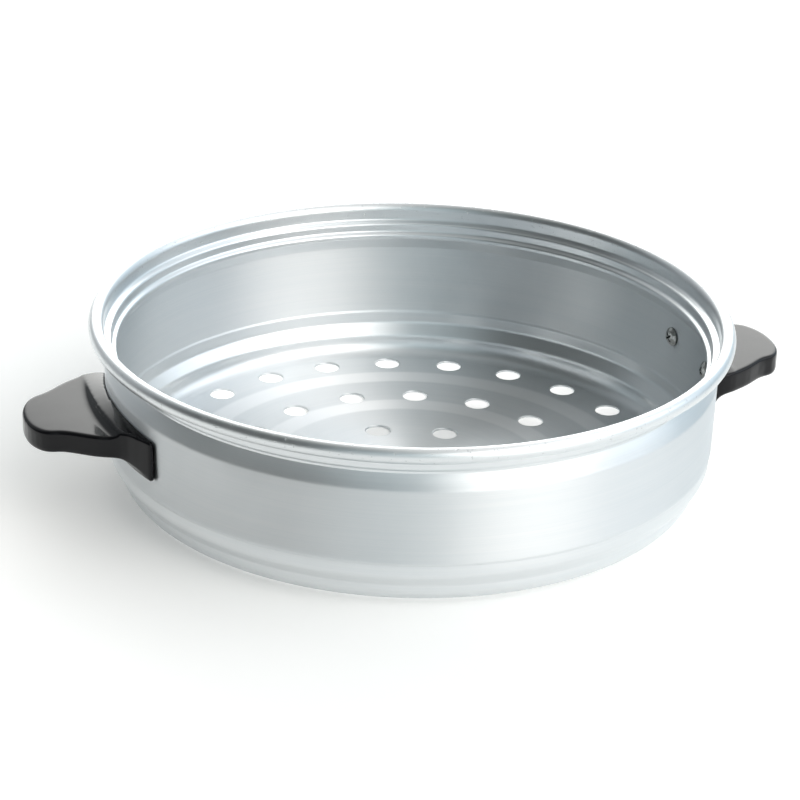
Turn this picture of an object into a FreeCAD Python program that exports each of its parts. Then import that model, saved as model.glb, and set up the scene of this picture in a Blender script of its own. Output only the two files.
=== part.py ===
import FreeCAD, Part
import math
import os

# Steaming tier: a drawn aluminium pan with a perforated floor, carried by two black phenolic
# side handles. The pan stands on the middle of its floor, with its axis on Z and the handles
# along X. All sizes are in millimetres.

Vector = FreeCAD.Vector
ORIGIN = Vector(0, 0, 0)
Z_AXIS = Vector(0, 0, 1)

# Pan: one sheet of even thickness
SHEET = 1.0
RIM_Z = 73.6                # height of the centre of the rolled rim
RIM_RADIUS = 140.0          # radius of the centre line of the rolled rim
RIM_TUBE = 3.3              # outer radius of the roll
RIM_CURL_END = -120.0       # angle at which the roll stops, under the rim
NECK_Z = (68.3, 69.0)       # the short cone between the upper band and the roll
SEAT_UPPER_RADIUS = 133.2   # upper band, which takes a lid or the foot of another tier
LEDGE_Z = (63.4, 64.4)      # the short cone between the two bands
SEAT_LOWER_RADIUS = 131.0   # narrowest band, which guides the foot of another tier
BAND_BEND = 1.2             # inside radius of the bends at the bands
SHOULDER_TOP_Z = 61.3
SHOULDER_BEND = 1.4
WALL_TOP_RADIUS = 135.6     # inside of the wall just under the shoulder
WALL_TOP_Z = 55.4
WALL_BOTTOM_RADIUS = 134.8  # inside of the wall just above the small step
STEP_Z = 22.3
STEP_HEIGHT = 1.0
STEP_DEPTH = 0.6
STEP_BEND = 1.6
SLOPE_TOP_Z = 16.0          # the slope that draws the wall in to the foot
SLOPE_TOP_BEND = 3.0
FOOT_TOP_Z = 10.4
FOOT_TOP_BEND = 3.4
FOOT_RADIUS = 129.8         # inside of the foot
FOOT_CORNER = 7.6           # inside radius between the foot and the floor
FLOOR_STEP = 0.3            # drop of each pressed ring of the floor towards its middle
FLOOR_BEND = 12.0
RING_STEPS = ((105.5, 95.0), (73.5, 63.5))   # outer and inner radius of each ring's slope

# Steam holes: rings that share one pitch, outwards from the middle
HOLE_DIAMETER = 11.6
HOLE_RING_RADII = (41.0, 78.5, 116.0)
HOLE_RING_COUNTS = (8, 16, 24)
HOLE_PHASE = 3.6            # degrees between the first hole of a ring and the handles

# Handles
HANDLE_GAP = 0.1            # between the handle and the wall
HANDLE_REACH = 174.6
PLATE_TOP = 46.4
PLATE_BOTTOM = 36.2
SADDLE_TOP = 50.8
SADDLE_BOTTOM = 31.2
# A handle hugs the wall further on its left, as seen by someone facing out from the pan
SADDLE_LONG_SPREAD = 21.0   # in degrees from the handle's middle
SADDLE_SHORT_SPREAD = 14.8
SADDLE_BLANK_SPREAD = 27.3  # half the angle of the turned blank that the plan trims
CREST_ACROSS = 19.0         # the saddle's top is a shallow arch with its crest on the long side
CREST_RADIUS = 330.0
SADDLE_LIP = 2.0            # how far the ends of the saddle stand off the handle's inner face
COVE_START = 148.0
LEG_THICKNESS = 2.2
PLATE_UNDER_START = 143.5
PLATE_TOP_EDGE = 1.0         # rounding of the upper edges
PLATE_BOTTOM_EDGE = 2.0      # rounding of the lower edges
LEG_CURVE = (2.6, 0.9)       # how far the middle of the leg's hollow curve lies in and down
# Half of the plate's plan, from the wall to the blunt tip: along and across the handle
PLAN_SIDE = ((139.5, 35.6), (146.0, 32.6), (152.5, 28.6), (158.5, 23.9), (163.0, 21.1), (166.8, 19.6))
PLAN_TIP_CORNER = (171.6, 14.2)
PLAN_FLARE = (134.2, 41.8)    # only on the long side of the saddle
PLAN_ROOT_RADIUS = 119.0     # inside the wall, so that the plan covers the whole saddle
SCOOP_RADIUS = 26.0          # hollow for the fingertips under the plate
SCOOP_DEPTH = 2.4
SCOOP_HALF_WIDTH = 12.0
SCOOP_CENTRE = 157.0

# Fixings: two machine screws for each handle, driven from inside the pan
SCREW_Z = 44.4
SCREW_SPREAD = 8.7          # half the angle between a handle's screws, in degrees
SCREW_RADIUS = 1.95
SCREW_HOLE_RADIUS = 2.2
SCREW_LENGTH = 7.6
HEAD_RADIUS = 4.4
HEAD_HEIGHT = 2.3
HEAD_EDGE = 0.7             # height of the head's upright edge
HEAD_CROWN = (2.0, 2.64)    # height and radius of a point midway along the head's dome
HEAD_LIFT = 0.08            # the flat of a head bridges the hollow of the wall by this much
CROSS_LENGTH = 4.6
CROSS_WIDTH = 1.0
CROSS_DEPTH = 1.4
CROSS_TURNS = (12.0, 55.0, 70.0, 28.0)   # how each driver cross happens to stand, in degrees
INSERT_RADIUS = 2.9
INSERT_LENGTH = 6.6
INSERT_BORE = 2.0
INSERT_BAND = 2.2           # length of each of the two wide bands that lock an insert
INSERT_WAIST = 0.4          # depth of the waist between them
INSERT_SET_BACK = 0.2       # from the handle's inner face
SCREW_TIP_ROOM = 1.2
FIT_GAP = 0.03
END_CHAMFER = 0.4


def wall_radius(z):
    """Outside radius of the slightly tapered wall at a height."""
    along = (z - STEP_Z) / (WALL_TOP_Z - STEP_Z)
    return SHEET + WALL_BOTTOM_RADIUS + (WALL_TOP_RADIUS - WALL_BOTTOM_RADIUS) * along


def polar(radius, degrees, z=0.0):
    angle = math.radians(degrees)
    return Vector(radius * math.cos(angle), radius * math.sin(angle), z)


def section(radius, z):
    return Vector(radius, 0, z)


def inner_corners():
    """Inside of the pan from the middle of the floor to the rim: radius, height, rounding."""
    corners = [(0.0, SHEET, 0.0)]
    height = SHEET
    for outer, inner in reversed(RING_STEPS):
        corners.append((inner, height, FLOOR_BEND))
        height += FLOOR_STEP
        corners.append((outer, height, FLOOR_BEND))
    return corners + [
        (FOOT_RADIUS, height, FOOT_CORNER),
        (FOOT_RADIUS, FOOT_TOP_Z, FOOT_TOP_BEND),
        (WALL_BOTTOM_RADIUS - STEP_DEPTH, SLOPE_TOP_Z, SLOPE_TOP_BEND),
        (WALL_BOTTOM_RADIUS - STEP_DEPTH, STEP_Z - STEP_HEIGHT, STEP_BEND),
        (WALL_BOTTOM_RADIUS, STEP_Z, STEP_BEND),
        (WALL_TOP_RADIUS, WALL_TOP_Z, SHOULDER_BEND),
        (SEAT_LOWER_RADIUS, SHOULDER_TOP_Z, SHOULDER_BEND),
        (SEAT_LOWER_RADIUS, LEDGE_Z[0], BAND_BEND),
        (SEAT_UPPER_RADIUS, LEDGE_Z[1], BAND_BEND),
        (SEAT_UPPER_RADIUS, NECK_Z[0], BAND_BEND),
        (RIM_RADIUS - RIM_TUBE, NECK_Z[1], BAND_BEND),
        (RIM_RADIUS - RIM_TUBE, RIM_Z, 0.0),
    ]


def shifted(corners, distance):
    """The same line moved sideways by a distance, to its right, with its bends kept concentric."""
    lines = []
    for (r0, z0, _), (r1, z1, _) in zip(corners, corners[1:]):
        length = math.hypot(r1 - r0, z1 - z0)
        along = ((r1 - r0) / length, (z1 - z0) / length)
        lines.append((r0 + along[1] * distance, z0 - along[0] * distance, along))
    moved = [(lines[0][0], lines[0][1], 0.0)]
    for before, after, corner in zip(lines, lines[1:], corners[1:]):
        turn = before[2][0] * after[2][1] - before[2][1] * after[2][0]
        gap = (after[0] - before[0], after[1] - before[1])
        reach = (gap[0] * after[2][1] - gap[1] * after[2][0]) / turn
        radius = corner[2] + math.copysign(distance, turn)
        moved.append((before[0] + before[2][0] * reach, before[1] + before[2][1] * reach, radius))
    end = corners[-1]
    moved.append((end[0] + lines[-1][2][1] * distance, end[1] - lines[-1][2][0] * distance, 0.0))
    return moved


def rounded_edges(corners):
    """Straight runs joined by tangent arcs."""
    edges = []
    start = section(*corners[0][:2])
    for before, corner, after in zip(corners, corners[1:], corners[2:]):
        here = section(*corner[:2])
        back = (section(*before[:2]) - here).normalize()
        ahead = (section(*after[:2]) - here).normalize()
        half = back.getAngle(ahead) / 2
        tangent = corner[2] / math.tan(half)
        middle = (back + ahead).normalize()
        arc_start = here + back * tangent
        arc_end = here + ahead * tangent
        arc_middle = here + middle * (corner[2] / math.sin(half) - corner[2])
        edges.append(Part.LineSegment(start, arc_start).toShape())
        edges.append(Part.Arc(arc_start, arc_middle, arc_end).toShape())
        start = arc_end
    edges.append(Part.LineSegment(start, section(*corners[-1][:2])).toShape())
    return edges


def rim_arc(radius):
    """The rolled rim's arc, from the neck over the top and round underneath."""
    points = []
    for degrees in (180.0, (180.0 + RIM_CURL_END) / 2, RIM_CURL_END):
        angle = math.radians(degrees)
        points.append(section(RIM_RADIUS + radius * math.cos(angle), RIM_Z + radius * math.sin(angle)))
    return Part.Arc(*points), points[-1]


def make_pan():
    inside = inner_corners()
    outside = shifted(inside, SHEET)
    outer_arc, outer_end = rim_arc(RIM_TUBE)
    inner_arc, inner_end = rim_arc(RIM_TUBE - SHEET)
    edges = rounded_edges(inside) + rounded_edges(outside)
    edges.append(outer_arc.toShape())
    edges.append(Part.LineSegment(outer_end, inner_end).toShape())
    edges.append(inner_arc.toShape())
    edges.append(Part.LineSegment(section(*inside[0][:2]), section(*outside[0][:2])).toShape())
    profile = Part.Face(Part.Wire(Part.__sortEdges__(edges)))
    pan = profile.revolve(ORIGIN, Z_AXIS, 360)
    tools = []
    for radius, count in zip(HOLE_RING_RADII, HOLE_RING_COUNTS):
        for index in range(count):
            centre = polar(radius, HOLE_PHASE + 360.0 * index / count, -SHEET)
            tools.append(Part.makeCylinder(HOLE_DIAMETER / 2, 4 * SHEET, centre))
    for degrees in screw_angles():
        start = polar(WALL_BOTTOM_RADIUS - 4 * SHEET, degrees, SCREW_Z)
        tools.append(Part.makeCylinder(SCREW_HOLE_RADIUS, 8 * SHEET, start, polar(1, degrees)))
    return pan.cut(tools)


def screw_angles():
    return [side + turn for side in (0.0, 180.0) for turn in (-SCREW_SPREAD, SCREW_SPREAD)]


def make_plan():
    """The handle seen from above, as a face that reaches inside the wall."""
    end_radius = wall_radius(PLATE_TOP) + HANDLE_GAP + SADDLE_LIP
    long_end = polar(end_radius, SADDLE_LONG_SPREAD)
    short_end = polar(end_radius, -SADDLE_SHORT_SPREAD)
    long_root = polar(PLAN_ROOT_RADIUS, SADDLE_LONG_SPREAD)
    short_root = polar(PLAN_ROOT_RADIUS, -SADDLE_SHORT_SPREAD)
    side = [Vector(x, y, 0) for x, y in PLAN_SIDE + (PLAN_TIP_CORNER,)]
    other_side = [Vector(p.x, -p.y, 0) for p in reversed(side)]
    outline = Part.BSplineCurve()
    outline.interpolate(
        [long_end, Vector(*PLAN_FLARE, 0)] + side + [Vector(HANDLE_REACH, 0, 0)] + other_side + [short_end]
    )
    edges = [
        outline.toShape(),
        Part.LineSegment(short_end, short_root).toShape(),
        Part.LineSegment(short_root, long_root).toShape(),
        Part.LineSegment(long_root, long_end).toShape(),
    ]
    return Part.Face(Part.Wire(edges))


def make_handle_section():
    """The handle cut along its middle: saddle against the wall, cove, plate and leg."""
    saddle_top = section(wall_radius(SADDLE_TOP) + HANDLE_GAP, SADDLE_TOP)
    saddle_bottom = section(wall_radius(SADDLE_BOTTOM) + HANDLE_GAP, SADDLE_BOTTOM)
    cove = SADDLE_TOP - PLATE_TOP
    diagonal = cove * math.sqrt(0.5)
    cove_top = section(COVE_START - cove, SADDLE_TOP)
    cove_middle = section(COVE_START - diagonal, SADDLE_TOP - diagonal)
    cove_foot = section(COVE_START, PLATE_TOP)
    leg_toe = section(saddle_bottom.x + LEG_THICKNESS, SADDLE_BOTTOM)
    leg_middle = section(PLATE_UNDER_START - LEG_CURVE[0], PLATE_BOTTOM - LEG_CURVE[1])
    under_start = section(PLATE_UNDER_START, PLATE_BOTTOM)
    past_tip = HANDLE_REACH + SHEET
    edges = [
        Part.LineSegment(saddle_top, cove_top).toShape(),
        Part.Arc(cove_top, cove_middle, cove_foot).toShape(),
        Part.LineSegment(cove_foot, section(past_tip, PLATE_TOP)).toShape(),
        Part.LineSegment(section(past_tip, PLATE_TOP), section(past_tip, PLATE_BOTTOM)).toShape(),
        Part.LineSegment(section(past_tip, PLATE_BOTTOM), under_start).toShape(),
        Part.Arc(under_start, leg_middle, leg_toe).toShape(),
        Part.LineSegment(leg_toe, saddle_bottom).toShape(),
        Part.LineSegment(saddle_bottom, saddle_top).toShape(),
    ]
    return Part.Face(Part.Wire(edges))


def make_crest_cutter():
    """What the arch of the saddle's top takes away, down to the plate."""
    width = 2 * SADDLE_BLANK_SPREAD
    corner = Vector(PLAN_ROOT_RADIUS, -width, PLATE_TOP)
    block = Part.makeBox(HANDLE_REACH - PLAN_ROOT_RADIUS, 2 * width, RIM_Z - PLATE_TOP, corner)
    centre = Vector(PLAN_ROOT_RADIUS - SHEET, CREST_ACROSS, SADDLE_TOP - CREST_RADIUS)
    arch = Part.makeCylinder(CREST_RADIUS, HANDLE_REACH, centre, Vector(1, 0, 0))
    return block.cut(arch)


def outline_edges(shape, upper):
    """Edges along the plan's curve, above or below the middle of the plate."""
    split = (PLATE_TOP + PLATE_BOTTOM) / 2
    curved = [edge for edge in shape.Edges if edge.Curve.TypeId == "Part::GeomBSplineCurve"]
    return [edge for edge in curved if (edge.CenterOfMass.z > split) == upper]


def screw_frame(degrees):
    """Turns a piece built along +X from the origin so that it lies on a screw's axis."""
    return FreeCAD.Placement(Vector(0, 0, SCREW_Z), FreeCAD.Rotation(Z_AXIS, degrees))


def make_handle():
    """The handle on the +X side."""
    ring = make_handle_section().revolve(ORIGIN, Z_AXIS, 2 * SADDLE_BLANK_SPREAD)
    ring.rotate(ORIGIN, Z_AXIS, -SADDLE_BLANK_SPREAD)
    handle = ring.common(make_plan().extrude(Z_AXIS * RIM_Z))
    handle = handle.makeFillet(PLATE_BOTTOM_EDGE, outline_edges(handle, upper=False))
    handle = handle.makeFillet(PLATE_TOP_EDGE, outline_edges(handle, upper=True))
    scoop_base = Vector(SCOOP_CENTRE, -SCOOP_HALF_WIDTH, PLATE_BOTTOM + SCOOP_DEPTH - SCOOP_RADIUS)
    tools = [
        make_crest_cutter(),
        Part.makeCylinder(SCOOP_RADIUS, 2 * SCOOP_HALF_WIDTH, scoop_base, Vector(0, 1, 0)),
    ]
    hole_radius = INSERT_RADIUS + FIT_GAP
    hole_start = wall_radius(SCREW_Z) - SHEET
    hole_end = wall_radius(SCREW_Z) + HANDLE_GAP + INSERT_SET_BACK + INSERT_LENGTH + SCREW_TIP_ROOM
    for degrees in (-SCREW_SPREAD, SCREW_SPREAD):
        start = polar(hole_start, degrees, SCREW_Z)
        tools.append(Part.makeCylinder(hole_radius, hole_end - hole_start, start, polar(1, degrees)))
    return handle.cut(tools).Solids[0]


def turned(outline):
    """A solid turned about X from an outline of (along, radius) points."""
    points = [Vector(along, 0, radius) for along, radius in outline]
    face = Part.Face(Part.makePolygon(points + points[:1]))
    return face.revolve(ORIGIN, Vector(1, 0, 0), 360)


def make_screw(cross_turn):
    """Pan-head machine screw along +X, with the flat of its head at the wall."""
    seat = wall_radius(SCREW_Z) - SHEET - HEAD_LIFT
    dome = Part.Arc(
        Vector(seat - HEAD_HEIGHT, 0, 0),
        Vector(seat - HEAD_CROWN[0], 0, HEAD_CROWN[1]),
        Vector(seat - HEAD_EDGE, 0, HEAD_RADIUS),
    )
    end = seat + SCREW_LENGTH
    corners = [
        Vector(seat - HEAD_EDGE, 0, HEAD_RADIUS),
        Vector(seat, 0, HEAD_RADIUS),
        Vector(seat, 0, SCREW_RADIUS),
        Vector(end - END_CHAMFER, 0, SCREW_RADIUS),
        Vector(end, 0, SCREW_RADIUS - END_CHAMFER),
        Vector(end, 0, 0),
        Vector(seat - HEAD_HEIGHT, 0, 0),
    ]
    profile = Part.Wire([dome.toShape()] + Part.makePolygon(corners).Edges)
    screw = Part.Face(profile).revolve(ORIGIN, Vector(1, 0, 0), 360)
    blades = []
    for turn in (cross_turn, cross_turn + 90.0):
        corner = Vector(seat - HEAD_HEIGHT - CROSS_DEPTH, -CROSS_LENGTH / 2, -CROSS_WIDTH / 2)
        blade = Part.makeBox(2 * CROSS_DEPTH, CROSS_LENGTH, CROSS_WIDTH, corner)
        blade.rotate(ORIGIN, Vector(1, 0, 0), turn)
        blades.append(blade)
    tip = Vector(seat - HEAD_HEIGHT, 0, 0)
    point = Part.makeCone(CROSS_WIDTH, 0, 2 * CROSS_DEPTH, tip, Vector(1, 0, 0))
    return screw.cut(blades + [point])


def make_insert():
    """Threaded brass bush moulded into the handle, waisted so that it can't pull out."""
    start = wall_radius(SCREW_Z) + HANDLE_GAP + INSERT_SET_BACK
    end = start + INSERT_LENGTH
    waist = INSERT_RADIUS - INSERT_WAIST
    return turned([
        (start, INSERT_BORE),
        (start, INSERT_RADIUS),
        (start + INSERT_BAND, INSERT_RADIUS),
        (start + INSERT_BAND, waist),
        (end - INSERT_BAND, waist),
        (end - INSERT_BAND, INSERT_RADIUS),
        (end, INSERT_RADIUS),
        (end, INSERT_BORE),
    ])


def build():
    parts = {"steamer_pan": make_pan()}
    handle = make_handle()
    insert = make_insert()
    crosses = iter(CROSS_TURNS)
    for side, half_turn in (("right", 0.0), ("left", 180.0)):
        parts["handle_" + side] = handle.rotated(ORIGIN, Z_AXIS, half_turn)
        for number, offset in enumerate((-SCREW_SPREAD, SCREW_SPREAD), start=1):
            placement = screw_frame(half_turn + offset)
            name = f"{side}_{number}"
            parts["screw_" + name] = make_screw(next(crosses)).transformed(placement.toMatrix())
            parts["insert_" + name] = insert.transformed(placement.toMatrix())
    return parts


os.makedirs("parts", exist_ok=True)
for node, shape in build().items():
    shape.exportStep(f"parts/{node}.step")
    print(f"{node}: {shape.Volume:.1f} mm3, valid {shape.isValid()}, solids {len(shape.Solids)}")
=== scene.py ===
import math

import bmesh
import bpy
import numpy as np
from mathutils import Matrix, Vector


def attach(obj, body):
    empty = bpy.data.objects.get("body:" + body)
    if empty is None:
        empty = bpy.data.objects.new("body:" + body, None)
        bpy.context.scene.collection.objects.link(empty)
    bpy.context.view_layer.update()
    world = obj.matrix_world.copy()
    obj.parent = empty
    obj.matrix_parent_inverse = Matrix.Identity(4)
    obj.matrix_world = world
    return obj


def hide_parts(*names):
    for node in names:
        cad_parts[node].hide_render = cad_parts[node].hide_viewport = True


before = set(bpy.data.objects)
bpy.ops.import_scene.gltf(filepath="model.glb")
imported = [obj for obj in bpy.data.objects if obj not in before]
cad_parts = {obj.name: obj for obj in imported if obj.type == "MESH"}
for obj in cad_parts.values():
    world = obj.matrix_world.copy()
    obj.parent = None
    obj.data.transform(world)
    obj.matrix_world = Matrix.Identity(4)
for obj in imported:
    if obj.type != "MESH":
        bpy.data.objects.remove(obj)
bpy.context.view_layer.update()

# Looks of a steaming tier: a spun aluminium pan with a perforated floor and two black phenolic
# handles. The pan's sheet is meshed here on the same profile as the part's solid, in the part's own
# frame, with the handles along X. Named lengths are in millimetres unless they say otherwise, and
# angles in degrees; the scene itself is in metres.

MM = 0.001

# Pan profile
SHEET = 1.0
RIM_Z = 73.6
RIM_RADIUS = 140.0
RIM_TUBE = 3.3
RIM_NECK = RIM_RADIUS - RIM_TUBE
RIM_CURL = (180.0, -120.0)  # the roll turns from its neck, over the top, to its inner end
FLOOR_STEP = 0.3           # each pressed ring's slope climbs by this much
FLOOR_BEND = 12.0
FLOOR_RINGS = ((73.5, 63.5), (105.5, 95.0))     # outer and inner radius of each ring's slope
WALL_LINE = (              # inside line of the sheet from the floor up, as (radius, height, bend)
    (129.8, 1.6, 7.6),
    (129.8, 10.4, 3.4),
    (134.2, 16.0, 3.0),
    (134.2, 21.3, 1.6),
    (134.8, 22.3, 1.6),
    (135.6, 55.4, 1.4),
    (131.0, 61.3, 1.4),
    (131.0, 63.4, 1.2),
    (133.2, 64.4, 1.2),
    (133.2, 68.3, 1.2),
    (RIM_NECK, 69.0, 1.2),
    (RIM_NECK, RIM_Z, 0.0),
)
FLOOR_TOP = 4.0            # points of the profile below this height belong to the floor
PLAIN_WALL = (24.0, 55.0)  # the straight run of wall that the screws pass through

# Steam holes
HOLE_RADIUS = 5.8
HOLE_RINGS = ((41.0, 8), (78.5, 16), (116.0, 24))
HOLE_PHASE = 3.6
HOLE_BAND = 7.0            # half the width of the ring of cells round each ring of holes
UPPER_LIP = 0.35           # the punch draws the upper edge down over this radius
UNDER_LIP = 0.12
LIP_STEPS = 3
LIP_BORDER = 0.25          # narrow ring of faces that keeps each lip crisp

# Screw holes in the wall
SCREW_SPREAD = 8.7
SCREW_ANGLES = (-SCREW_SPREAD, SCREW_SPREAD, 180.0 - SCREW_SPREAD, 180.0 + SCREW_SPREAD)
SCREW_Z = 44.4
SCREW_HOLE_RADIUS = 2.2
SCREW_REACH = 7.0          # half the height of the band of cells round the screw holes
SCREW_BAND = (SCREW_Z - SCREW_REACH, SCREW_Z + SCREW_REACH)
SCREW_CELL = 4             # columns on each side of a screw hole

# Handle mouldings
HANDLE_VOXEL = 0.5         # the solid is remeshed in cells of this size
HANDLE_SMOOTHING = 18      # rounds of smoothing, which soften its edges
SMOOTHING_SHARE = 0.5      # how far a round moves each point towards the middle of its neighbours
PLATE_TOP = 46.4
COVE_WALL = 137.0          # the saddle sweeps down from the wall to the plate between these radii
COVE_END = 157.0
COVE_POWER = 1.25          # 1 is an even squeeze, and more hollows the sweep
DROOP_START = 142.0        # the grip hangs from this radius out to its tip
HANDLE_TIP = 174.0
HANDLE_LIFT = {"right": 2.4, "left": 0.0}      # the two are screwed on at slightly different heights
HANDLE_DROOP = {"right": 0.8, "left": 2.2}     # how far each grip's outer edge hangs below its root

# Mesh of the sheet
COLUMNS = 384              # a multiple of twice each ring's count of holes
BAND_ROWS = 8
CELL_LOOPS = (0.12, 0.35, 0.65)     # loops between a lip and its cell's border, as shares of the way
TURN_STEP = 7.5            # most that a bend turns between two points
BEND_STEPS = 3             # fewest steps round a bend
RUN_STEP = 3.0             # longest step along a straight run
ROLL_STEPS = 48            # steps round the outer and the inner face of the rim's roll
INNER_ROLL_STEPS = 30
LEVEL_GAP = 1e-4           # points nearer than this to a level count as on it
WELD = 1e-6                # metres: points nearer than this become one
EMPTY_FACE = 1e-13         # square metres: smaller faces are left out


def corners_inside():
    """Inside line of the pan from the middle of the floor to the rim: radius, height, bend."""
    line = [(0.0, SHEET, 0.0)]
    height = SHEET
    for outer, inner in FLOOR_RINGS:
        line.append((inner, height, FLOOR_BEND))
        height += FLOOR_STEP
        line.append((outer, height, FLOOR_BEND))
    return line + list(WALL_LINE)


def shifted(corners, distance):
    """The line moved to its right by a distance, with its bends kept concentric."""
    runs = []
    for (r0, z0, _), (r1, z1, _) in zip(corners, corners[1:]):
        along = Vector((r1 - r0, z1 - z0)).normalized()
        runs.append((Vector((r0 + along.y * distance, z0 - along.x * distance)), along))
    moved = [(runs[0][0].x, runs[0][0].y, 0.0)]
    for (start, along), (after, onward), corner in zip(runs, runs[1:], corners[1:]):
        turn = along.cross(onward)
        meet = start + along * ((after - start).cross(onward) / turn)
        moved.append((meet.x, meet.y, corner[2] + math.copysign(distance, turn)))
    end = Vector(corners[-1][:2]) + Vector((runs[-1][1].y, -runs[-1][1].x)) * distance
    moved.append((end.x, end.y, 0.0))
    return moved


def rounded_line(corners):
    """Points along straight runs joined by tangent arcs."""
    points = [Vector(corners[0][:2])]
    for before, corner, after in zip(corners, corners[1:], corners[2:]):
        here = Vector(corner[:2])
        back = (Vector(before[:2]) - here).normalized()
        ahead = (Vector(after[:2]) - here).normalized()
        half = back.angle(ahead) / 2
        middle = (back + ahead).normalized()
        centre = here + middle * (corner[2] / math.sin(half))
        sweep = math.pi - 2 * half
        steps = max(BEND_STEPS, math.ceil(math.degrees(sweep) / TURN_STEP))
        side = math.copysign(1.0, back.cross(ahead))
        spoke = (here + back * (corner[2] / math.tan(half))) - centre
        for index in range(steps + 1):
            angle = -side * sweep * index / steps
            turned = Vector((
                spoke.x * math.cos(angle) - spoke.y * math.sin(angle),
                spoke.x * math.sin(angle) + spoke.y * math.cos(angle),
            ))
            points.append(centre + turned)
    points.append(Vector(corners[-1][:2]))
    filled = [points[0]]
    for start, end in zip(points, points[1:]):
        pieces = max(1, math.ceil((end - start).length / RUN_STEP))
        filled += [start.lerp(end, (k + 1) / pieces) for k in range(pieces)]
    return filled


def reader(points, axis):
    """A function that reads a profile's other coordinate at a place along one axis."""
    places = [point[axis] for point in points]
    values = [point[1 - axis] for point in points]
    return lambda place: float(np.interp(place, places, values))


def with_levels(line, levels, axis):
    """The line with a point added wherever it climbs past a level along one axis."""
    kept = []
    for start, end in zip(line, line[1:]):
        kept.append(start)
        for level in levels:
            if start[axis] < level - LEVEL_GAP and end[axis] > level + LEVEL_GAP:
                kept.append(start.lerp(end, (level - start[axis]) / (end[axis] - start[axis])))
    return kept + [line[-1]]


class SheetMesh:
    """Collects the faces of a turned sheet; points that coincide are welded at the end."""

    def __init__(self):
        self.points = []
        self.faces = []

    def loop(self, points):
        first = len(self.points)
        self.points += points
        return list(range(first, first + len(points)))

    def bridge(self, low, high, closed=True):
        count = len(low) if closed else len(low) - 1
        for index in range(count):
            after = (index + 1) % len(low)
            self.faces.append((low[index], low[after], high[after], high[index]))

    def build(self, name):
        mesh = bpy.data.meshes.new(name)
        mesh.from_pydata([Vector(p) * MM for p in self.points], [], self.faces)
        made = bmesh.new()
        made.from_mesh(mesh)
        bmesh.ops.remove_doubles(made, verts=made.verts, dist=WELD)
        empty = [face for face in made.faces if face.calc_area() < EMPTY_FACE]
        bmesh.ops.delete(made, geom=empty, context="FACES")
        bmesh.ops.recalc_face_normals(made, faces=made.faces)
        made.to_mesh(mesh)
        made.free()
        mesh.shade_smooth()
        piece = bpy.data.objects.new(name, mesh)
        bpy.context.scene.collection.objects.link(piece)
        return piece


def column_angle(column):
    return math.radians(HOLE_PHASE + 360.0 * column / COLUMNS)


def round_point(radius, angle, height):
    return (radius * math.cos(angle), radius * math.sin(angle), height)


def ring_loop(sheet, point):
    return sheet.loop([round_point(point[0], column_angle(c), point[1]) for c in range(COLUMNS)])


def turn_line(sheet, line):
    """Quads all round between neighbouring points of a profile."""
    loops = [ring_loop(sheet, point) for point in line]
    for low, high in zip(loops, loops[1:]):
        sheet.bridge(low, high)


def cell_border(first, last, low, high):
    """Points round a cell as (column, level), starting at its low first corner."""
    levels = [low + (high - low) * k / BAND_ROWS for k in range(BAND_ROWS + 1)]
    border = [(column, low) for column in range(first, last)]
    border += [(last, level) for level in levels[:-1]]
    border += [(column, high) for column in range(last, first, -1)]
    border += [(first, level) for level in reversed(levels[1:])]
    return border


def pierce(sheet, border, radius, place_upper, place_under):
    """Fills a cell round a hole on both faces of the sheet and joins them through the hole."""
    reach = [math.hypot(u, v) for u, v in border]
    aim = [(u / d, v / d) for (u, v), d in zip(border, reach)]
    rims = []
    for place, lip in ((place_upper, UPPER_LIP), (place_under, UNDER_LIP)):
        loops = []
        for step in range(LIP_STEPS + 1):
            turn = math.pi / 2 * step / LIP_STEPS
            out = radius + lip * (1 - math.cos(turn))
            depth = lip * (1 - math.sin(turn))
            loops.append([place(a * out, b * out, depth) for a, b in aim])
        edge = radius + lip + LIP_BORDER
        loops.append([place(a * edge, b * edge, 0.0) for a, b in aim])
        for share in CELL_LOOPS:
            loops.append([
                place(a * (edge + (d - edge) * share), b * (edge + (d - edge) * share), 0.0)
                for (a, b), d in zip(aim, reach)
            ])
        loops.append([place(u, v, 0.0) for u, v in border])
        made = [sheet.loop(points) for points in loops]
        for low, high in zip(made, made[1:]):
            sheet.bridge(low, high)
        rims.append(made[0])
    sheet.bridge(rims[0], rims[1])


def floor_cells(sheet, ring_radius, count, upper, under):
    """One ring of steam holes with the cells of floor round them; upper and under give heights."""
    half = COLUMNS // (2 * count)
    for index in range(count):
        middle = 2 * half * index
        centre = column_angle(middle)
        border = []
        for column, radius in cell_border(middle - half, middle + half,
                                          ring_radius - HOLE_BAND, ring_radius + HOLE_BAND):
            angle = column_angle(column) - centre
            border.append((radius * math.cos(angle) - ring_radius, radius * math.sin(angle)))

        def place(u, v, depth, height, sign):
            radius = math.hypot(ring_radius + u, v)
            angle = centre + math.atan2(v, ring_radius + u)
            return round_point(radius, angle, height(radius) + sign * depth)

        pierce(sheet, border, HOLE_RADIUS,
               lambda u, v, depth: place(u, v, depth, upper, -1),
               lambda u, v, depth: place(u, v, depth, under, 1))


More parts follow.
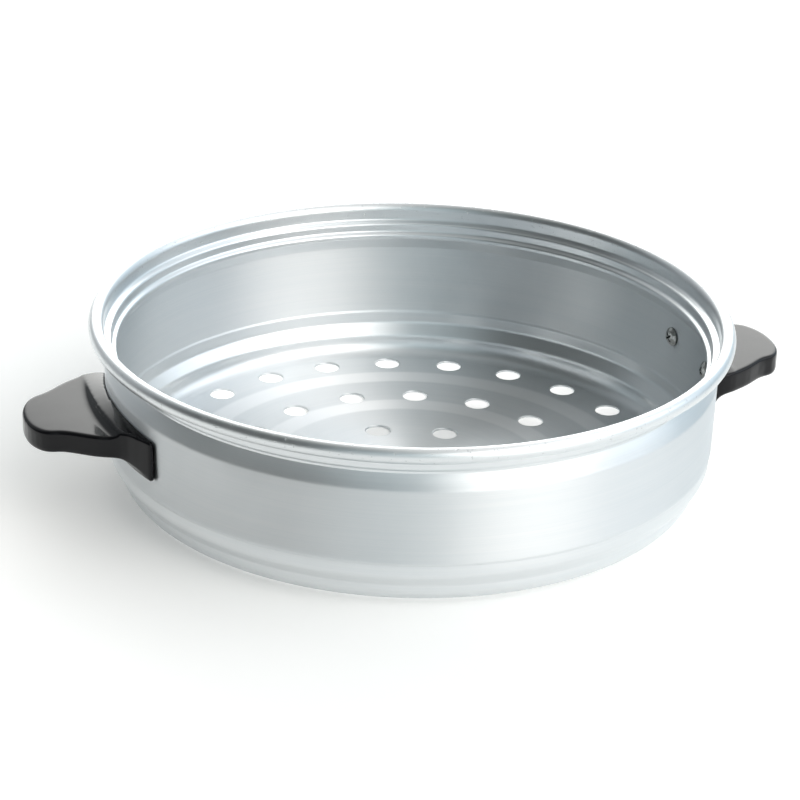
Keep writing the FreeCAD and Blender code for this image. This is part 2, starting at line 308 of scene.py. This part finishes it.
def wall_band(sheet, inner, outer):
    """The band of wall with the screw holes; inner and outer give the radii of the two faces."""
    low, high = SCREW_BAND
    taken = set()
    for degrees in SCREW_ANGLES:
        nearest = round((degrees - HOLE_PHASE) / 360.0 * COLUMNS)
        first, last = nearest - SCREW_CELL, nearest + SCREW_CELL
        taken |= {column % COLUMNS for column in range(first, last)}
        centre = math.radians(degrees)
        border = []
        for column, level in cell_border(first, last, low, high):
            border.append(((column_angle(column) - centre) * RIM_RADIUS, level - SCREW_Z))

        def place(u, v, depth, radius, sign):
            height = SCREW_Z + v
            return round_point(radius(height) + sign * depth, centre + u / RIM_RADIUS, height)

        pierce(sheet, border, SCREW_HOLE_RADIUS,
               lambda u, v, depth: place(u, v, depth, inner, 1),
               lambda u, v, depth: place(u, v, depth, outer, -1))
    levels = [low + (high - low) * k / BAND_ROWS for k in range(BAND_ROWS + 1)]
    for radius in (inner, outer):
        for column in sorted(set(range(COLUMNS)) - taken):
            strips = [
                sheet.loop([round_point(radius(z), column_angle(c), z) for c in (column, column + 1)])
                for z in levels
            ]
            for lower, upper in zip(strips, strips[1:]):
                sheet.bridge(lower, upper, closed=False)


def roll_points(radius, steps):
    """One face of the rim's roll, from its neck over the top and round underneath."""
    start, end = RIM_CURL
    points = []
    for index in range(steps + 1):
        angle = math.radians(start + (end - start) * index / steps)
        points.append(Vector((RIM_RADIUS + radius * math.cos(angle), RIM_Z + radius * math.sin(angle))))
    return points


def make_pan():
    """The whole sheet: both faces turned round the axis, the cells round the holes, and the roll."""
    inside = corners_inside()
    edges = [radius + side for radius, _ in HOLE_RINGS for side in (-HOLE_BAND, HOLE_BAND)]
    plain_floor = list(zip([0.0] + edges[1::2], edges[0::2] + [math.inf]))
    sheet = SheetMesh()
    heights = []
    radii = []
    for corners in (inside, shifted(inside, SHEET)):
        line = rounded_line(corners)
        heights.append(reader([p for p in line if p.y < FLOOR_TOP], 0))
        radii.append(reader([p for p in line if PLAIN_WALL[0] < p.y < PLAIN_WALL[1]], 1))
        split = next(index for index, p in enumerate(line) if p.y >= FLOOR_TOP)
        floor_line = with_levels(line[:split], edges, 0)
        wall_line = with_levels(line[split - 1:], SCREW_BAND, 1)
        for low, high in plain_floor:
            turn_line(sheet, [p for p in floor_line if low - LEVEL_GAP <= p.x <= high + LEVEL_GAP])
        turn_line(sheet, [p for p in wall_line if p.y <= SCREW_BAND[0] + LEVEL_GAP])
        turn_line(sheet, [p for p in wall_line if p.y >= SCREW_BAND[1] - LEVEL_GAP])
    for radius, count in HOLE_RINGS:
        floor_cells(sheet, radius, count, *heights)
    wall_band(sheet, *radii)
    outer_roll = roll_points(RIM_TUBE, ROLL_STEPS)
    inner_roll = roll_points(RIM_TUBE - SHEET, INNER_ROLL_STEPS)
    turn_line(sheet, outer_roll + inner_roll[::-1])
    return sheet.build("steamer_pan_shell")


def share_between(value, start, end):
    """How far a value lies from start to end, from 0 to 1."""
    return min(1.0, max(0.0, (value - start) / (end - start)))


def make_handle(side):
    """The handle's solid with softened edges, a swept cove, and its own height and droop."""
    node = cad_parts["handle_" + side]
    handle = bpy.data.objects.new(f"handle_{side}_moulding", node.data.copy())
    handle.matrix_world = node.matrix_world
    bpy.context.scene.collection.objects.link(handle)
    remesh = handle.modifiers.new("remesh", "REMESH")
    remesh.mode = "VOXEL"
    remesh.voxel_size = HANDLE_VOXEL * MM
    smooth = handle.modifiers.new("smooth", "SMOOTH")
    smooth.factor = SMOOTHING_SHARE
    smooth.iterations = HANDLE_SMOOTHING
    view = handle.evaluated_get(bpy.context.evaluated_depsgraph_get())
    mesh = bpy.data.meshes.new_from_object(view)
    handle.modifiers.clear()
    for vertex in mesh.vertices:
        radius = vertex.co.xy.length / MM
        height = vertex.co.z / MM
        if height > PLATE_TOP:
            near_wall = share_between(radius, COVE_END, COVE_WALL)
            height = PLATE_TOP + (height - PLATE_TOP) * near_wall ** COVE_POWER
        outward = share_between(radius, DROOP_START, HANDLE_TIP)
        vertex.co.z = (height + HANDLE_LIFT[side] - HANDLE_DROOP[side] * outward ** 2) * MM
    handle.data = mesh
    mesh.shade_smooth()
    return handle


# Materials

AXIS_GAP = 1e-5            # metres: least radius that a direction round the axis is worked out at
MID_NOISE = (0.3, 0.7)     # most of a noise lies between these
WIDE_NOISE = (0.2, 0.8)    # and nearly all of it between these


class Nodes:
    """A material's node tree, written as short calls."""

    def __init__(self, name):
        self.material = bpy.data.materials.new(name)
        self.material.use_nodes = True
        self.tree = self.material.node_tree
        self.tree.nodes.clear()
        self.shader = self.add("ShaderNodeBsdfPrincipled")
        output = self.add("ShaderNodeOutputMaterial")
        self.link(self.shader.outputs[0], output.inputs["Surface"])

    def add(self, kind, **settings):
        node = self.tree.nodes.new(kind)
        for key, value in settings.items():
            setattr(node, key, value)
        return node

    def link(self, output, socket):
        self.tree.links.new(output, socket)

    def feed(self, socket, value):
        """Links a socket to another node's output, or gives it a fixed value."""
        if hasattr(value, "links"):
            self.link(value, socket)
        else:
            socket.default_value = value

    def math(self, operation, first, second=0.0):
        node = self.add("ShaderNodeMath", operation=operation)
        for socket, value in zip(node.inputs, (first, second)):
            self.feed(socket, value)
        return node.outputs[0]

    def scaled(self, value, share):
        return self.math("MULTIPLY", value, share)

    def combine(self, x, y, z):
        node = self.add("ShaderNodeCombineXYZ")
        for socket, value in zip(node.inputs, (x, y, z)):
            self.feed(socket, value)
        return node.outputs[0]

    def noise(self, vector, scale, detail, roughness=0.5, fourth=None):
        node = self.add("ShaderNodeTexNoise")
        if fourth is not None:
            node.noise_dimensions = "4D"
            self.feed(node.inputs["W"], fourth)
        self.feed(node.inputs["Vector"], vector)
        self.feed(node.inputs["Scale"], scale)
        self.feed(node.inputs["Detail"], detail)
        self.feed(node.inputs["Roughness"], roughness)
        return node.outputs[0]

    def ramp(self, value, low, high, to_low=0.0, to_high=1.0):
        node = self.add("ShaderNodeMapRange", interpolation_type="SMOOTHSTEP")
        for socket, number in zip(node.inputs, (value, low, high, to_low, to_high)):
            self.feed(socket, number)
        return node.outputs[0]

    def mix(self, factor, first, second):
        node = self.add("ShaderNodeMix", data_type="RGBA")
        self.feed(node.inputs["Factor"], factor)
        self.feed(node.inputs["A"], first)
        self.feed(node.inputs["B"], second)
        return node.outputs["Result"]

    def bump(self, height, depth, under=None):
        """Relief that is this many millimetres deep, on top of any relief under it."""
        node = self.add("ShaderNodeBump")
        self.feed(node.inputs["Height"], height)
        self.feed(node.inputs["Distance"], depth * MM)
        if under is not None:
            self.link(under, node.inputs["Normal"])
        return node.outputs[0]

    def place(self):
        return self.add("ShaderNodeTexCoord").outputs["Object"]

    def round_place(self):
        """Position as radius, height and the unit direction round the axis."""
        split = self.add("ShaderNodeSeparateXYZ")
        self.link(self.place(), split.inputs[0])
        x, y, z = split.outputs
        square = self.math("ADD", self.math("MULTIPLY", x, x), self.math("MULTIPLY", y, y))
        radius = self.math("MAXIMUM", self.math("SQRT", square), AXIS_GAP)
        return radius, z, self.math("DIVIDE", x, radius), self.math("DIVIDE", y, radius)


# Spun aluminium. Each grain is (millimetres between grooves, change along a groove, detail), and
# each noise is (scale, detail, roughness)
FINE_GRAIN = (0.4, 2.5, 3.0)
COARSE_GRAIN = (3.5, 1.2, 2.0)
GRAIN_ROUGHNESS = 0.6
FINE_SHARE = 0.6           # of the tone, with the rest from the coarse grain
CLOUD_NOISE = (22.0, 3.0, 0.55)
SPECK_NOISE = (2600.0, 1.0, 0.5)
NICK_NOISE = (650.0, 2.0, 0.6)
NICK_LEVEL = (0.64, 0.72)  # only the peaks of the noise are knocks
NICKS_FROM = (70.0, 71.0)  # the rim above this height carries small knocks
RING_SHEEN_EDGE = 1.2         # the painted sheen on the floor's pressed rings fades over this much each side
# The rim and the outside of the foot are a little smoother than the rest, with these fades
POLISHED_RIM = (57.0, 62.0)
POLISHED_FOOT = (24.0, 18.0)
POLISHED_OUTSIDE = (122.0, 127.0)
BRUSHED_DARK = (0.705, 0.735, 0.75, 1)
BRUSHED_LIGHT = (0.745, 0.765, 0.775, 1)
# Painted sheen: the floor's pressed rings are painted lighter in place of the reflection off their
# slopes
RING_SHEEN = (0.93, 0.94, 0.945, 1)
RING_SHEEN_SHARE = 0.6
NICKED = (0.50, 0.51, 0.52, 1)
NICKED_SHARE = 0.5
CLOUD_ROUGHNESS = (0.41, 0.45)
FINE_ROUGHER = 0.05        # each of these adds to the roughness, or takes away from it
RING_SHEEN_ROUGHER = 0.06
POLISH_SMOOTHER = 0.11
NICK_ROUGHER = 0.15
SHEEN_STRETCH = 0.9        # the grooves stretch reflections across them, less where polished
POLISH_STRETCH = 0.2
SHEEN_TURN = 0.25
GROOVE_DEPTH = 0.004
SPECK_DEPTH = 0.003
NICK_DEPTH = 0.08


def aluminium_material():
    """Spun aluminium: concentric grain, a cloudy satin face, painted sheen on the floor's rings and a
    knocked rim.
    """
    n = Nodes("spun_aluminium")
    radius, height, across, along = n.round_place()

    def grain(pitch, sweep, detail):
        vector = n.combine(
            n.scaled(radius, 1 / (pitch * MM)),
            n.scaled(height, 1 / (pitch * MM)),
            n.scaled(across, sweep),
        )
        return n.noise(vector, 1.0, detail, GRAIN_ROUGHNESS, fourth=n.scaled(along, sweep))

    def fade(distance, start, end):
        return n.ramp(distance, start * MM, end * MM)

    fine = grain(*FINE_GRAIN)
    coarse = grain(*COARSE_GRAIN)
    cloud = n.noise(n.place(), *CLOUD_NOISE)
    speck = n.noise(n.place(), *SPECK_NOISE)
    # Painted sheen: a lighter band over the slope of each pressed ring of the floor
    ring_sheen = 0.0
    for outer, inner in FLOOR_RINGS:
        rise = fade(radius, inner - RING_SHEEN_EDGE, inner + RING_SHEEN_EDGE)
        fall = fade(radius, outer + RING_SHEEN_EDGE, outer - RING_SHEEN_EDGE)
        ring_sheen = n.math("ADD", ring_sheen, n.math("MULTIPLY", rise, fall))
    foot = n.math("MULTIPLY", fade(height, *POLISHED_FOOT), fade(radius, *POLISHED_OUTSIDE))
    polish = n.math("MAXIMUM", fade(height, *POLISHED_RIM), foot)
    peaks = n.ramp(n.noise(n.place(), *NICK_NOISE), *NICK_LEVEL)
    nicks = n.math("MULTIPLY", peaks, fade(height, *NICKS_FROM))

    tone = n.math("ADD", n.scaled(fine, FINE_SHARE), n.scaled(coarse, 1 - FINE_SHARE))
    brushed = n.mix(n.ramp(tone, *MID_NOISE), BRUSHED_DARK, BRUSHED_LIGHT)
    # Mixes in the painted sheen of the floor's rings
    ringed = n.mix(n.scaled(ring_sheen, RING_SHEEN_SHARE), brushed, RING_SHEEN)
    worn = n.mix(n.scaled(nicks, NICKED_SHARE), ringed, NICKED)
    n.feed(n.shader.inputs["Base Color"], worn)
    rough = n.ramp(cloud, *MID_NOISE, *CLOUD_ROUGHNESS)
    rough = n.math("ADD", rough, n.scaled(fine, FINE_ROUGHER))
    rough = n.math("ADD", rough, n.scaled(ring_sheen, RING_SHEEN_ROUGHER))
    rough = n.math("SUBTRACT", rough, n.scaled(polish, POLISH_SMOOTHER))
    rough = n.math("ADD", rough, n.scaled(nicks, NICK_ROUGHER))
    n.feed(n.shader.inputs["Roughness"], rough)
    n.feed(n.shader.inputs["Metallic"], 1.0)
    stretch = n.math("SUBTRACT", SHEEN_STRETCH, n.scaled(polish, POLISH_STRETCH))
    n.feed(n.shader.inputs["Anisotropic"], stretch)
    n.feed(n.shader.inputs["Anisotropic Rotation"], SHEEN_TURN)
    tangent = n.add("ShaderNodeTangent", direction_type="RADIAL", axis="Z")
    n.link(tangent.outputs[0], n.shader.inputs["Tangent"])
    relief = n.bump(fine, GROOVE_DEPTH)
    relief = n.bump(coarse, GROOVE_DEPTH, under=relief)
    relief = n.bump(speck, SPECK_DEPTH, under=relief)
    relief = n.bump(n.math("SUBTRACT", 1.0, nicks), NICK_DEPTH, under=relief)
    n.link(relief, n.shader.inputs["Normal"])
    return n.material


# Black phenolic, with its noises as (scale, detail)
FLOW_NOISE = (60.0, 3.0)
WEAR_NOISE = (900.0, 2.0)
PHENOLIC_DARK = (0.003, 0.003, 0.004, 1)
PHENOLIC_LIGHT = (0.006, 0.006, 0.007, 1)
PHENOLIC_ROUGHNESS = (0.09, 0.14)
PHENOLIC_IOR = 1.5
PHENOLIC_SPECULAR = 0.22
FLOW_DEPTH = 0.06
WEAR_DEPTH = 0.004


def phenolic_material():
    """Black phenolic moulding: glossy, with a faint flow texture and fine wear."""
    n = Nodes("black_phenolic")
    flow = n.noise(n.place(), *FLOW_NOISE)
    wear = n.noise(n.place(), *WEAR_NOISE)
    tone = n.mix(n.ramp(flow, *MID_NOISE), PHENOLIC_DARK, PHENOLIC_LIGHT)
    n.feed(n.shader.inputs["Base Color"], tone)
    n.feed(n.shader.inputs["Roughness"], n.ramp(wear, *WIDE_NOISE, *PHENOLIC_ROUGHNESS))
    n.feed(n.shader.inputs["IOR"], PHENOLIC_IOR)
    n.feed(n.shader.inputs["Specular IOR Level"], PHENOLIC_SPECULAR)
    relief = n.bump(flow, FLOW_DEPTH)
    relief = n.bump(wear, WEAR_DEPTH, under=relief)
    n.link(relief, n.shader.inputs["Normal"])
    return n.material


# Metal of the fixings, as (light tone, dark tone, roughness), and its noises as (scale, detail)
STEEL = ((0.62, 0.62, 0.60, 1), (0.45, 0.45, 0.43, 1), 0.28)
BRASS = ((0.78, 0.60, 0.30, 1), (0.62, 0.45, 0.20, 1), 0.30)
PATCH_NOISE = (700.0, 3.0)
PATCH_LEVEL = (0.35, 0.65)
TOOLING_NOISE = (5000.0, 2.0)
TOOLING_DEPTH = 0.01
SMOOTHEST = -0.06          # the roughness varies from this much less to this much more
ROUGHEST = 0.08
# Colour of the shade painted into corners and recesses
RECESS_SHADE = (0.02, 0.02, 0.02, 1)
RECESS_SHADE_REACH = 1.5          # painted shade darkens corners and recesses narrower than this
RECESS_SHADE_LEVEL = (0.45, 0.95)  # full painted shade below the first openness, and none above the second


def metal_material(name, light, dark, roughness):
    """Machined metal for the fixings, with painted shade darkening its corners and recesses."""
    n = Nodes(name)
    patches = n.noise(n.place(), *PATCH_NOISE)
    tooling = n.noise(n.place(), *TOOLING_NOISE)
    # Painted shade: the colour darkens in the corners and recesses that the occlusion finds
    corners = n.add("ShaderNodeAmbientOcclusion")
    n.feed(corners.inputs["Distance"], RECESS_SHADE_REACH * MM)
    unshaded = n.ramp(corners.outputs["AO"], *RECESS_SHADE_LEVEL)
    worn = n.mix(n.ramp(patches, *PATCH_LEVEL), dark, light)
    n.feed(n.shader.inputs["Base Color"], n.mix(unshaded, RECESS_SHADE, worn))
    rough = n.ramp(tooling, *WIDE_NOISE, roughness + SMOOTHEST, roughness + ROUGHEST)
    n.feed(n.shader.inputs["Roughness"], rough)
    n.feed(n.shader.inputs["Metallic"], 1.0)
    n.link(n.bump(tooling, TOOLING_DEPTH), n.shader.inputs["Normal"])
    return n.material


# White table with painted light: a glow painted into it, strongest under the pan. The glow grows from
# the middle out to a ring inside the pan's foot, each given as (radius, glow), and fades between two
# radii to the glow of the open table
GLOW_MIDDLE = (45.0, 0.02)
GLOW_RING = (105.0, 0.60)
GLOW_EDGE = (119.0, 127.0)
GLOW_AROUND = 0.21
GLOW_COLOUR = (1.0, 0.99, 0.97, 1)
TABLE_COLOUR = (0.90, 0.90, 0.89, 1)
TABLE_ROUGHNESS = 0.85
TABLE_REACH = 6.0          # metres


def floor_material():
    n = Nodes("studio_floor")
    radius = n.round_place()[0]
    (middle, low_glow), (ring, high_glow) = GLOW_MIDDLE, GLOW_RING
    start, end = GLOW_EDGE
    # Painted light: a pool of glow under the pan, brightest in a ring inside its foot
    under = n.ramp(radius, middle * MM, ring * MM, low_glow, high_glow)
    fade = n.ramp(radius, start * MM, end * MM, 1.0, GLOW_AROUND / high_glow)
    n.feed(n.shader.inputs["Base Color"], TABLE_COLOUR)
    n.feed(n.shader.inputs["Roughness"], TABLE_ROUGHNESS)
    n.feed(n.shader.inputs["Emission Color"], GLOW_COLOUR)
    n.feed(n.shader.inputs["Emission Strength"], n.math("MULTIPLY", under, fade))
    return n.material


def coat(piece, material):
    """Gives every slot of a piece one material."""
    if not piece.data.materials:
        piece.data.materials.append(material)
    for slot in piece.material_slots:
        slot.material = material


# Studio

CAMERA_PLACE = (-0.3419, -1.1045, 0.5591)       # metres
CAMERA_HEADING = -16.975   # degrees from the Y axis
CAMERA_DOWN = 24.412
CAMERA_ROLL = 1.666
CAMERA_LENS = 126.95
CAMERA_SENSOR = 36.0
CAMERA_NEAR = 0.05         # metres

WORLD_BASE = (0.09, 0.10, 0.10)
# Soft lights all round, as (name, azimuth from the camera's side, elevation, half width, colour)
WORLD_LOBES = (
    ("front_low", 0.0, 12.0, 34.0, (0.32, 0.38, 0.40)),
    ("front_high", 0.0, 38.0, 34.0, (0.30, 0.36, 0.38)),
    ("front_right_low", 45.0, 12.0, 34.0, (1.35, 1.32, 1.28)),
    ("front_right_high", 45.0, 38.0, 34.0, (2.55, 2.48, 2.40)),
    ("right_low", 90.0, 12.0, 34.0, (0.60, 0.68, 0.74)),
    ("right_high", 90.0, 38.0, 34.0, (1.15, 1.20, 1.25)),
    ("back_right_low", 135.0, 12.0, 34.0, (0.36, 0.48, 0.56)),
    ("back_right_high", 135.0, 38.0, 34.0, (0.50, 0.54, 0.58)),
    ("back_left", -135.0, 26.0, 38.0, (0.36, 0.38, 0.40)),
    ("backdrop_low", 180.0, 18.0, 30.0, (3.35, 3.37, 3.32)),
    ("backdrop_high", 180.0, 50.0, 34.0, (0.60, 0.59, 0.57)),
    ("right_top", 105.0, 65.0, 40.0, (0.50, 0.48, 0.48)),
    ("overhead", 0.0, 90.0, 34.0, (0.30, 0.31, 0.31)),
)


def make_camera():
    data = bpy.data.cameras.new("camera")
    data.lens = CAMERA_LENS
    data.sensor_width = CAMERA_SENSOR
    data.clip_start = CAMERA_NEAR
    camera = bpy.data.objects.new("camera", data)
    turn = Matrix.Rotation(math.radians(CAMERA_HEADING), 4, "Z")
    tilt = Matrix.Rotation(math.radians(90.0 - CAMERA_DOWN), 4, "X")
    roll = Matrix.Rotation(math.radians(CAMERA_ROLL), 4, "Z")
    camera.matrix_world = Matrix.Translation(CAMERA_PLACE) @ turn @ tilt @ roll
    bpy.context.scene.collection.objects.link(camera)
    bpy.context.scene.camera = camera


def toward(azimuth, elevation):
    """Direction from the pan: azimuth 0 is to the camera's side, 90 to its right."""
    turn = math.radians(azimuth + CAMERA_HEADING - 90.0)
    rise = math.radians(elevation)
    return Vector((math.cos(turn) * math.cos(rise), math.sin(turn) * math.cos(rise), math.sin(rise)))


def make_world():
    """An even dim light with each soft light added to it."""
    world = bpy.data.worlds.new("studio")
    bpy.context.scene.world = world
    world.use_nodes = True
    tree = world.node_tree
    tree.nodes.clear()
    output = tree.nodes.new("ShaderNodeOutputWorld")
    background = tree.nodes.new("ShaderNodeBackground")
    tree.links.new(background.outputs[0], output.inputs["Surface"])
    place = tree.nodes.new("ShaderNodeTexCoord").outputs["Generated"]
    base = tree.nodes.new("ShaderNodeCombineXYZ")
    for socket, level in zip(base.inputs, WORLD_BASE):
        socket.default_value = level
    total = base.outputs[0]
    for name, azimuth, elevation, width, colour in WORLD_LOBES:
        dot = tree.nodes.new("ShaderNodeVectorMath")
        dot.operation = "DOT_PRODUCT"
        tree.links.new(place, dot.inputs[0])
        dot.inputs[1].default_value = toward(azimuth, elevation)
        lobe = tree.nodes.new("ShaderNodeMapRange")
        lobe.name = name
        lobe.interpolation_type = "SMOOTHSTEP"
        lobe.inputs["From Min"].default_value = math.cos(math.radians(width))
        lobe.inputs["From Max"].default_value = 1.0
        tree.links.new(dot.outputs["Value"], lobe.inputs["Value"])
        add = tree.nodes.new("ShaderNodeVectorMath")
        add.operation = "MULTIPLY_ADD"
        tree.links.new(lobe.outputs[0], add.inputs[0])
        add.inputs[1].default_value = colour
        tree.links.new(total, add.inputs[2])
        total = add.outputs[0]
    tree.links.new(total, background.inputs["Color"])


def make_floor():
    mesh = bpy.data.meshes.new("studio_floor")
    corners = [(x * TABLE_REACH, y * TABLE_REACH, 0) for x, y in ((-1, -1), (1, -1), (1, 1), (-1, 1))]
    mesh.from_pydata(corners, [], [(0, 1, 2, 3)])
    floor = bpy.data.objects.new("studio_floor", mesh)
    bpy.context.scene.collection.objects.link(floor)
    coat(floor, floor_material())


aluminium = aluminium_material()
phenolic = phenolic_material()
steel = metal_material("plated_steel", *STEEL)
brass = metal_material("turned_brass", *BRASS)

pan = make_pan()
coat(pan, aluminium)
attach(pan, "root")
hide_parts("steamer_pan")

for side in ("right", "left"):
    handle = make_handle(side)
    coat(handle, phenolic)
    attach(handle, "root")
    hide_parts("handle_" + side)
    for number in (1, 2):
        coat(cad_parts[f"screw_{side}_{number}"], steel)
        coat(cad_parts[f"insert_{side}_{number}"], brass)

make_camera()
make_world()
make_floor()
bpy.context.scene.view_settings.view_transform = "Standard"
